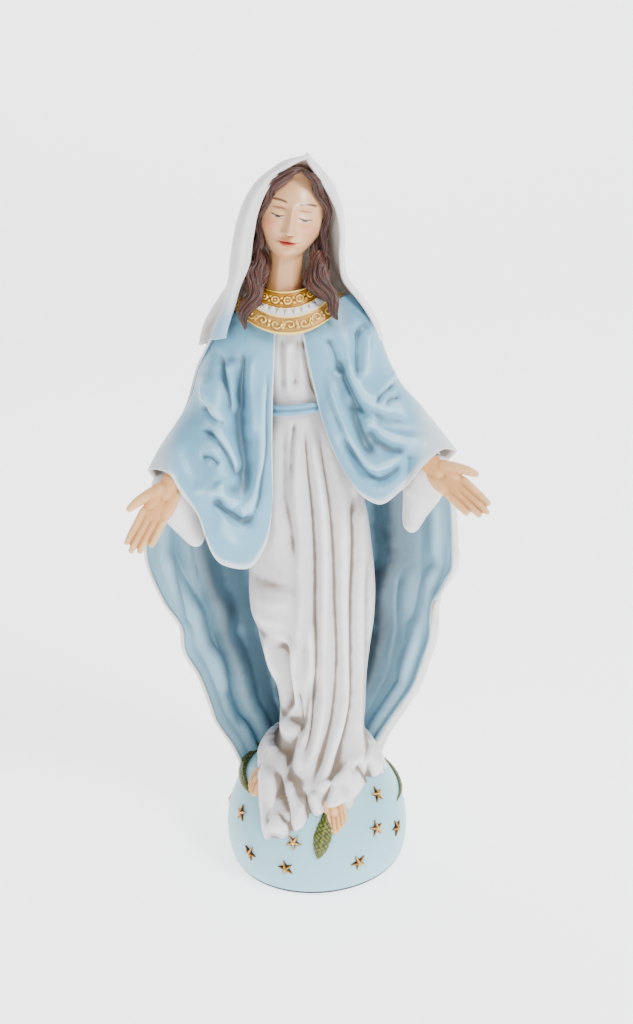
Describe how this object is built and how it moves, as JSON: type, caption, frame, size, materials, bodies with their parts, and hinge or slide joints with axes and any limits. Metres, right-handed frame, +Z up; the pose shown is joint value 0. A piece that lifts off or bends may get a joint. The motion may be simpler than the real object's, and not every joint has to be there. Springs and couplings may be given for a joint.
{
  "type": "madonna statue",
  "caption": "Painted cast-resin devotional statue: robed standing woman with open hands, hooded mantle and gold collar, on a starred globe with a serpent.",
  "frame": {"origin": "centre of the felt's underside, on the surface that the statue stands on", "axes": "+Z up, the statue faces -Y, its own left hand points to +X"},
  "size_m": [0.1344, 0.0825, 0.3],
  "materials": {
    "white_robe": "satin",
    "blue_cape": "satin",
    "mantle_white": "satin",
    "globe_blue": "satin",
    "gold_paint": "gloss",
    "flesh": "satin",
    "hair_brown": "satin",
    "serpent_green": "satin",
    "felt": "matte",
    "steel": "satin"
  },
  "bodies": {
    "root": {"belt": "blue_cape", "cape_left": "blue_cape", "cape_right": "blue_cape", "collar_lower_band": "gold_paint", "collar_trim": "white_robe", "collar_upper_band": "gold_paint", "felt_pad": "felt", "figure_dowel": "steel", "foot_left": "flesh", "foot_right": "flesh", "globe": "globe_blue", "gown": "white_robe", "hair_crown": "hair_brown", "hair_lock_left": "hair_brown", "hair_lock_right": "hair_brown", "hand_left": "flesh", "hand_right": "flesh", "head": "flesh", "hood": "mantle_white", "mantle": "mantle_white", "serpent_body": "serpent_green", "serpent_head": "serpent_green", "sleeve_left": "white_robe", "sleeve_right": "white_robe", "star_01": "gold_paint", "star_02": "gold_paint", "star_03": "gold_paint", "star_04": "gold_paint", "star_05": "gold_paint", "star_06": "gold_paint", "star_07": "gold_paint", "star_08": "gold_paint", "star_09": "gold_paint", "star_10": "gold_paint", "star_11": "gold_paint", "star_12": "gold_paint", "wrist_pin_left": "steel", "wrist_pin_right": "steel"}
  },
  "joints": []
}
